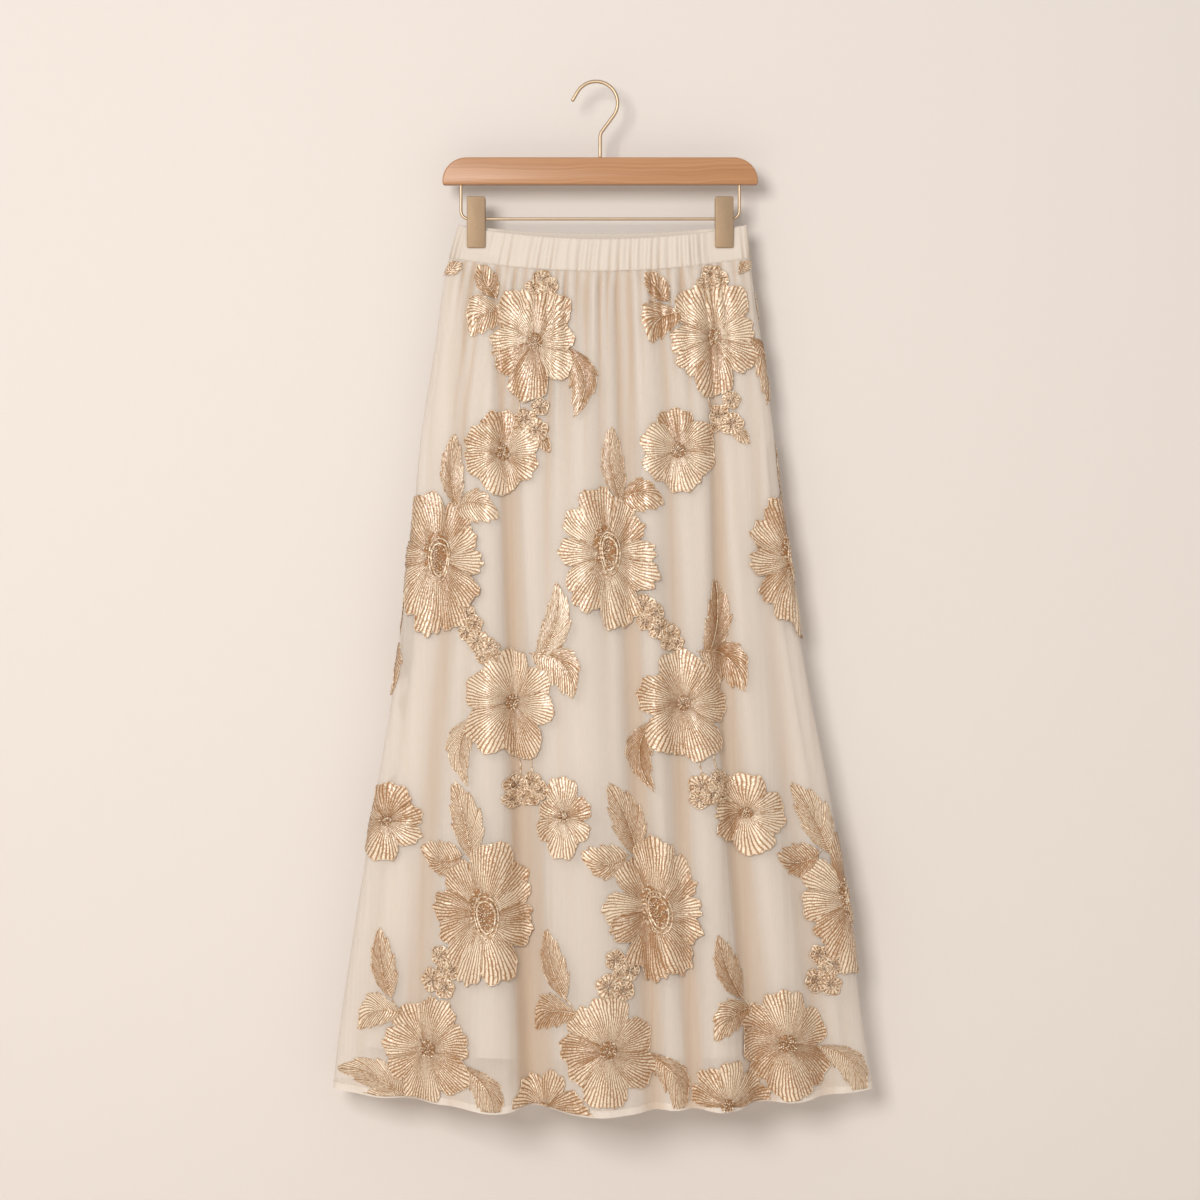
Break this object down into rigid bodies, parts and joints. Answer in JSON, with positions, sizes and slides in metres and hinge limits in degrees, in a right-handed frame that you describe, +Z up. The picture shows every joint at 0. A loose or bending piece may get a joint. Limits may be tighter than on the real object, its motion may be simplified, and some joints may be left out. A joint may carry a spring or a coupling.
{
  "type": "maxi skirt on a clip hanger",
  "caption": "Long A-line skirt with a ruched elastic waistband, a sheer embroidered layer over a shorter lining, held by a wooden clip hanger.",
  "frame": {"origin": "the underside of the hook's arc at its highest point, where the hanger rests on what holds it", "axes": "+Z up, +X to the right as seen from the skirt's front, -Y out of the skirt's front, +Y towards what it hangs against"},
  "size_m": [0.5972, 0.1201, 1.1369],
  "materials": {
    "sheer_cloth": "sheer chiffon, soft",
    "lining_cloth": "smooth satin-backed lining",
    "band_cloth": "soft matte cloth over elastic",
    "gold_thread": "metallic embroidery thread, shiny",
    "wood": "satin lacquer",
    "hook_metal": "pale gold plate, satin",
    "clip_metal": "pale gold plate, fine matte"
  },
  "bodies": {
    "root": {"skirt_front": "sheer_cloth", "skirt_back": "sheer_cloth", "lining_front": "lining_cloth", "lining_back": "lining_cloth", "waistband_front": "band_cloth", "waistband_back": "band_cloth", "hanger_bar": "wood", "hanger_hook": "hook_metal", "hanger_rod": "hook_metal", "clip_left_front": "clip_metal", "clip_left_back": "clip_metal", "clip_left_spring": "hook_metal", "clip_right_front": "clip_metal", "clip_right_back": "clip_metal", "clip_right_spring": "hook_metal"}
  },
  "joints": []
}
